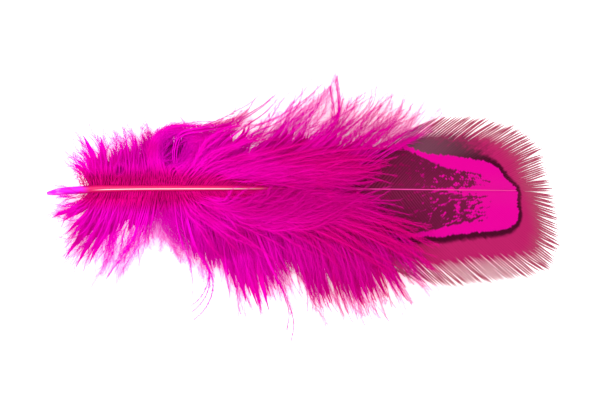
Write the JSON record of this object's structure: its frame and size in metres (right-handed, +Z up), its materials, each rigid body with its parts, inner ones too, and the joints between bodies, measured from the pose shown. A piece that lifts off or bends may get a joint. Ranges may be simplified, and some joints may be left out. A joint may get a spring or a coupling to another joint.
{
  "type": "feather",
  "caption": "Small dyed body feather of a pheasant: short quill, soft fluffy down along the lower shaft and a rounded, patterned vane, lying flat with its patterned side up.",
  "frame": {"origin": "on the surface that the feather lies on, under the middle of its box", "axes": "+X along the feather from the quill to the rounded tip, +Y to the picture's top, +Z up, out of the patterned side"},
  "size_m": [0.0764, 0.0366, 0.0055],
  "materials": {
    "dyed_down": "soft matte fluff, hot magenta dye, darker towards the shaft",
    "dyed_vane": "zipped barbs, dark maroon with a hot pink band and a pale rose fringe, low sheen",
    "quill": "smooth dyed horn, translucent at its cut end, with a pale ridge along it"
  },
  "bodies": {
    "root": {"feather": "dyed_down"}
  },
  "joints": []
}
